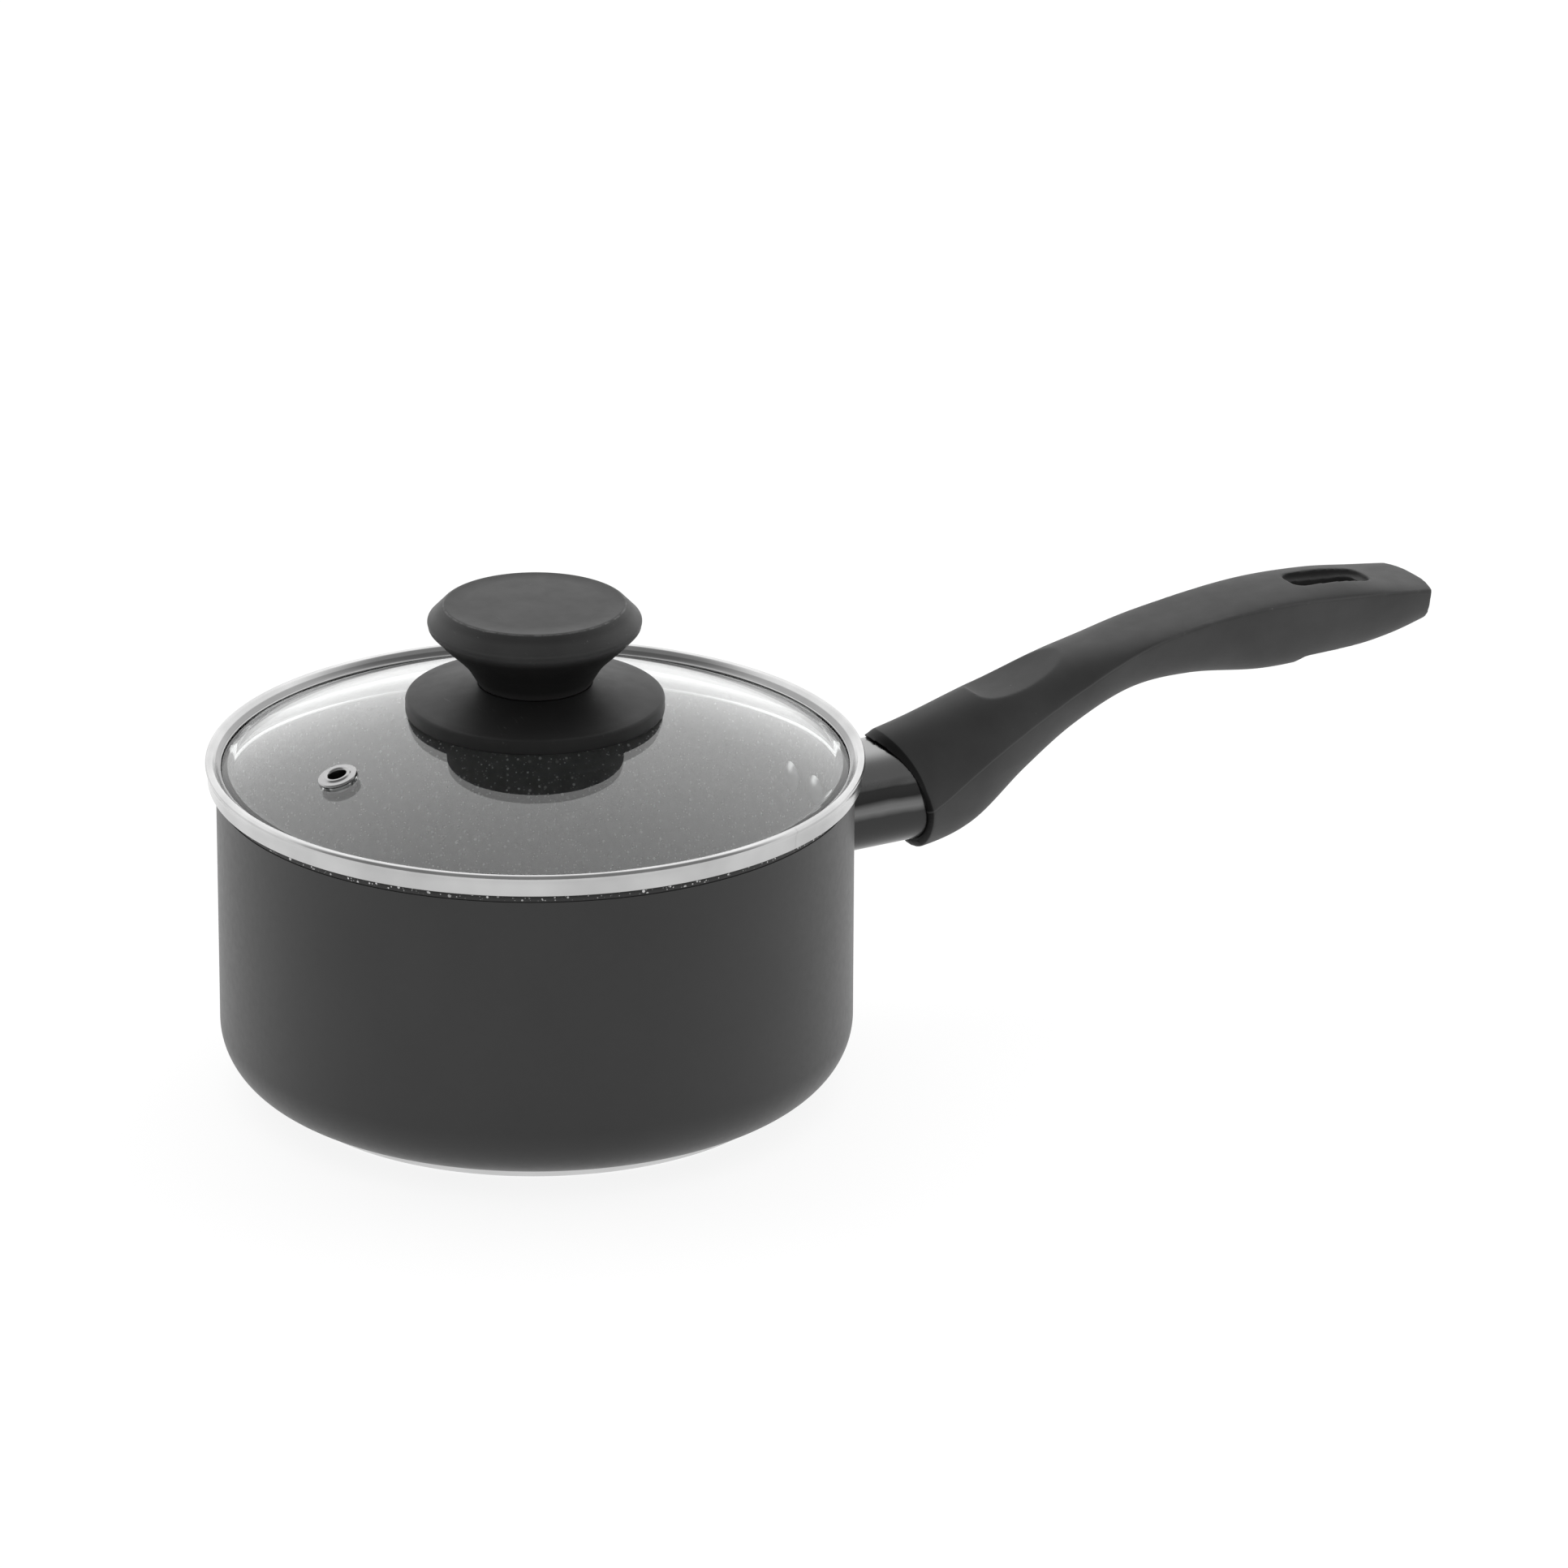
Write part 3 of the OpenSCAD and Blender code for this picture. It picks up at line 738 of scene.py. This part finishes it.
def make_knob():
    """Mushroom knob. The heights of its profile are counted from the skirt's top."""
    flare = ((0.3, 14.75), (1.1, 15.2), (3.1, 16.4), (5.1, 17.7), (7.1, 19.5), (9.1, 21.6),
             (11.1, 23.7), (13.1, 25.6), (14.5, 26.9), (15.3, 27.35))
    under = []
    for i, (z, r) in enumerate(flare[:-1]):
        before, after = flare[max(i - 1, 0)], flare[i + 1]
        beyond = flare[min(i + 2, len(flare) - 1)]
        for k in range(4):
            t = k / 4
            start = (after[1] - before[1]) / (after[0] - before[0]) * (after[0] - z)
            end = (beyond[1] - r) / (beyond[0] - z) * (after[0] - z)
            x = curve_between(r, after[1], start, end, t)
            under.append((x, KNOB_Z + z + (after[0] - z) * t))
    edge_r = KNOB_R - 4.1
    crown_r = KNOB_R - 3.6
    crown_z = KNOB_TOP - 0.4
    outline = [(0, KNOB_Z - 0.3), (NECK_R - 0.6, KNOB_Z - 0.3), (NECK_R - 0.1, KNOB_Z)]
    outline += under
    outline += arc(KNOB_R - 1.5, KNOB_Z + 16.4, 1.5, -32, 34, 7)
    outline += arc(crown_r - 1.2, crown_z - 1.5, 1.7, 42, 85, 8)
    outline += [(crown_r * s, KNOB_TOP - 0.45 * s * s) for s in (0.92, 0.75, 0.5, 0.25)]
    outline += [(0, KNOB_TOP)]
    return lathe("knob_head", outline, [moulded("knob_bakelite", 0.050, 0.44, 0.6, 0.5,
                                                (edge_r, KNOB_Z, KNOB_TOP))])


# ---- handle ---------------------------------------------------------------------


def oval(half_w, half_h, steps):
    """Points of an upright bar's outline: half circles joined by short straight sides."""
    points = []
    for k in range(steps):
        t = 2 * math.pi * (k + 0.5) / steps
        shift = math.copysign(half_h - half_w, math.sin(t))
        points.append((half_w * math.cos(t), half_w * math.sin(t) + shift))
    return points


def make_ferrule():
    """Oval tube that is cut to the round wall at one end and ends inside the grip."""
    steps = 128
    wall = 1.2
    length = 34.6
    bm = bmesh.new()
    skins = []
    for inset, xs in ((0, (0, 0.4, 12, 24, length)), (wall, (length, 24, 12, 0))):
        for x in xs:
            ring = []
            for y, z in oval(FERRULE_W - inset, FERRULE_H - inset, steps):
                start = math.sqrt((PAN_R + 0.05)**2 - y * y)
                at = start * (1 - x / length) + (PAN_R + length) * x / length
                ring.append(bm.verts.new((at, y, HANDLE_Z + z)))
            skins.append(ring)
    for i, ring in enumerate(skins):
        after = skins[(i + 1) % len(skins)]
        for k in range(steps):
            n = (k + 1) % steps
            bm.faces.new((ring[k], ring[n], after[n], after[k]))
    return new_object("ferrule_tube", bm, [lacquer()])


# Sections of the grip: distance from the pan's axis, heights of its top, of the crease
# along its side and of its underside, its half width, and how full its arches are.
GRIP = (
    (98, 75.6, 50.5, 43.9, 13.2, 2.4),
    (112, 78.5, 57.0, 42.8, 13.6, 2.4),
    (128, 82.7, 67.0, 46.6, 13.5, 2.3),
    (143, 86.3, 75.2, 58.4, 13.1, 2.3),
    (158, 89.6, 82.2, 68.3, 12.5, 2.3),
    (176, 91.6, 89.2, 75.6, 12.0, 2.4),
    (195, 93.8, 93.0, 76.5, 11.6, 2.5),
    (219, 96.1, 94.6, 73.6, 12.6, 2.6),
    (240, 95.8, 93.4, 74.2, 13.0, 2.6),
    (258, 92.6, 91.7, 76.8, 12.6, 2.8),
    (272, 90.7, 89.9, 81.1, 12.0, 3.0),
)
GRIP_START = GRIP[0][0]
GRIP_SPAN = GRIP[-1][0] - GRIP_START
# The grip is cut off at GRIP_END by a bow of radius BOW_R, and its slot is centred on SLOT_X.
GRIP_END = 268.4
BOW_R = 37
SLOT_X = 239.5
# The mouth is cut by a cylinder across the grip. From MOUTH_RISE above the cylinder's middle
# the end face gets wider with height, at the rate MOUTH_LEAN.
MOUTH_X = 74
MOUTH_Z = 48.5
MOUTH_R = 37
MOUTH_RISE = 13.5
MOUTH_LEAN = 0.12


def grip_at(x):
    """Top, crease, underside, half width and fullness at x, on curves through GRIP."""
    last = len(GRIP) - 1
    i = max([0] + [n for n in range(last) if GRIP[n][0] <= x])
    a, b = GRIP[i], GRIP[i + 1]
    w = b[0] - a[0]
    t = (x - a[0]) / w
    before, after = GRIP[max(i - 1, 0)], GRIP[min(i + 2, last)]
    values = []
    for c in range(1, 6):
        start = (b[c] - before[c]) / (b[0] - before[0]) * w
        end = (after[c] - a[c]) / (after[0] - a[0]) * w
        values.append(curve_between(a[c], b[c], start, end, t))
    return values


def grip_ring(x, half):
    """One section: an arch over the crease, and a deeper one under it that leans in."""
    top, mid, low, w, full = grip_at(x)
    bend = 2 / full
    upper_start, lower_start = math.radians(14), math.radians(28)
    ring = []
    for k in range(2 * half):
        upper = k < half
        start = upper_start if upper else lower_start
        base = math.sin(start)**bend
        t = start + (math.pi - 2 * start) * (k if upper else k - half) / half
        y = math.copysign(w * (abs(math.cos(t)) / math.cos(start))**bend, math.cos(t))
        rise = (math.sin(t)**bend - base) / (1 - base)
        ring.append((x, y if upper else -y, mid + rise * ((top if upper else low) - mid)))
    return ring


def loft(name, rings):
    """Closed skin over rings of equal length."""
    bm = bmesh.new()
    skins = [[bm.verts.new(p) for p in ring] for ring in rings]
    size = len(skins[0])
    for low, high in zip(skins, skins[1:]):
        for k in range(size):
            n = (k + 1) % size
            bm.faces.new((low[k], low[n], high[n], high[k]))
    bm.faces.new(skins[0])
    bm.faces.new(list(reversed(skins[-1])))
    return new_object(name, bm, [])


def bar(name, outline, low, high, frame_matrix):
    """Prism over a closed outline, from height low to high of its own frame."""
    rings = [[frame_matrix @ Vector((x, y, z)) for x, y in outline] for z in (low, high)]
    return loft(name, rings)


def soft_outline(length, width, corner):
    """Rectangle along X with rounded corners."""
    l, w = length / 2 - corner, width / 2 - corner
    return (arc(l, -w, corner, -90, 0, 8) + arc(l, w, corner, 0, 90, 8)
            + arc(-l, w, corner, 90, 180, 8) + arc(-l, -w, corner, 180, 270, 8))


def round_outline(radius, steps):
    return [(radius * math.cos(math.tau * k / steps), radius * math.sin(math.tau * k / steps))
            for k in range(steps)]


def make_grip():
    """Grip, lofted beyond its end and then cut to shape. The ferrule's socket and the screw's
    hole are cut after the edges are softened, so they keep their size."""
    steps, half_ring = 170, 64
    grip = loft("grip_shell", [grip_ring(GRIP_START + GRIP_SPAN * i / steps, half_ring)
                               for i in range(steps + 1)])
    below, above, beside = 60, 110, 30
    side = Matrix.Rotation(math.pi / 2, 4, "X")
    mouth = bar("mouth", round_outline(MOUTH_R, 160), -beside, beside,
                Matrix.Translation((MOUTH_X, 0, MOUTH_Z)) @ side)
    half_w, beyond = 20, 300
    bow = math.asin(half_w / BOW_R)
    arch = [(GRIP_END - BOW_R + BOW_R * math.cos(a), BOW_R * math.sin(a))
            for a in (bow - 2 * bow * k / 40 for k in range(41))]
    end = bar("end", arch + [(beyond, -half_w), (beyond, half_w)], below, above, Matrix())
    slot = bar("slot", soft_outline(21, 8, 2.6), below, above,
               Matrix.Translation((SLOT_X, 0, 0)))
    pocket_top, recess_depth, clear = 76.4, 2.4, 7.2
    pocket = bar("pocket", soft_outline(24, 15, 4), below, pocket_top,
                 Matrix.Translation((SLOT_X + 1, 0, 0)))
    recess = bar("recess", soft_outline(24, 10.4, 3.4), 0, clear,
                 Matrix.Translation((SLOT_X + 0.5, 0, grip_at(SLOT_X)[0] - recess_depth))
                 @ Matrix.Rotation(math.radians(5), 4, "Y"))
    cut(grip, mouth, end, slot, pocket, recess, scoop_bar(side))
    soften(grip)
    along = Matrix(((0, 0, 1, 0), (1, 0, 0, 0), (0, 1, 0, HANDLE_Z), (0, 0, 0, 1)))
    socket_from, socket_to, play = 80, 119, 0.1
    socket = bar("socket", oval(FERRULE_W + play, FERRULE_H + play, 96), socket_from, socket_to,
                 along)
    screw_x, screw_r, screw_from, screw_to = 125, 4.1, 30, 53.5
    screw = bar("screw", round_outline(screw_r, 48), screw_from, screw_to,
                Matrix.Translation((screw_x, 0, 0)))
    cut(grip, socket, screw)
    grip.data.set_sharp_from_angle(angle=SHARP)
    grip.data.materials.append(moulded("grip_bakelite", 0.056, 0.52, 0.8, grip=True))
    return grip


def scoop_bar(side):
    """What the thumb scoop takes away: it deepens quickly, then runs out along the top."""
    start, length, scale, steps = 129.5, 27, 6.9, 40
    over, half_w = 120, 40
    floor = [(start + length * s, grip_at(start + length * s)[0] - scale * s**0.6 * (1 - s))
             for s in ((i / steps)**1.5 for i in range(steps + 1))]
    return bar("scoop", floor + [(start + length, over), (start, over)], -half_w, half_w, side)


def soften(grip):
    """Rounds the edges of the cut grip as moulding does, and draws its mouth in."""
    skin = grip.modifiers.new("skin", "REMESH")
    skin.mode = "VOXEL"
    skin.voxel_size = 0.4 * MM
    skin.use_smooth_shade = True
    bake(grip)
    mouth_end = 116
    straight = FERRULE_H - FERRULE_W
    for vert in grip.data.vertices:
        x, y, z = vert.co / MM
        if x > mouth_end:
            continue
        depth = 0.9 + MOUTH_LEAN * max(0.0, z - MOUTH_Z - MOUTH_RISE)
        off = math.hypot(x - MOUTH_X, z - MOUTH_Z) - MOUTH_R
        if off >= depth:
            continue
        mid = HANDLE_Z + max(-straight, min(straight, z - HANDLE_Z))
        reach = math.hypot(y, z - mid)
        spare = reach - FERRULE_W - (0.5 if off < 0.3 else 0.2)
        if spare > 0:
            pull = 1 - spare * 0.75 * (1 - max(0.0, off) / depth)**1.3 / reach
            vert.co = Vector((x, y * pull, mid + (z - mid) * pull)) * MM
    relax = grip.modifiers.new("relax", "SMOOTH")
    relax.factor = 0.5
    relax.iterations = 7
    bake(grip)


# ---- assembly -------------------------------------------------------------------


def stand_for(piece, body, slot, *nodes):
    """Has a piece ride on a body and replace the CAD nodes. slot is not used."""
    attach(piece, body)
    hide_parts(*nodes)


def finish_nodes():
    """Gives the CAD pieces that stay their own materials."""
    plated = metal("plated_steel", 0.62, 0.3, (2, 2, 0.4))
    looks = {
        plated: ("handle_bracket", "handle_screw", "handle_lock_washer", "handle_nut",
                 "knob_screw", "knob_washer", "knob_lock_washer"),
        metal("rivet_aluminium", 0.7, 0.34, depth=0.1): ("bracket_rivets",),
        metal("collar_steel", 0.5, 0.25, depth=0.05): ("vent_collar",),
        metal("insert_brass", (0.75, 0.55, 0.25), 0.3, (2, 2, 0.4)): ("knob_insert",),
        silicone(): ("glass_bush",),
    }
    for mat, names in looks.items():
        for name in names:
            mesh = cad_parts[name].data
            mesh.materials.clear()
            mesh.materials.append(mat)


add_camera()
add_world()
add_floor()
stand_for(make_pan(), "pan", "pan_coating", "pan_body")
stand_for(make_base(), "pan", "base_steel", "base_disc")
stand_for(make_ferrule(), "pan", "ferrule_lacquer", "ferrule")
stand_for(make_grip(), "pan", "grip_bakelite", "handle_grip")
stand_for(make_glass(), "lid", "lid_glass", "lid_glass")
stand_for(make_rim(), "lid", "rim_steel", "lid_rim")
stand_for(make_eyelet(), "lid", "vent_steel", "vent_eyelet")
stand_for(make_skirt(), "lid", "knob_bakelite", "knob_skirt")
stand_for(make_knob(), "lid", "knob_bakelite", "knob")
finish_nodes()

bpy.context.scene.view_settings.view_transform = "Standard"
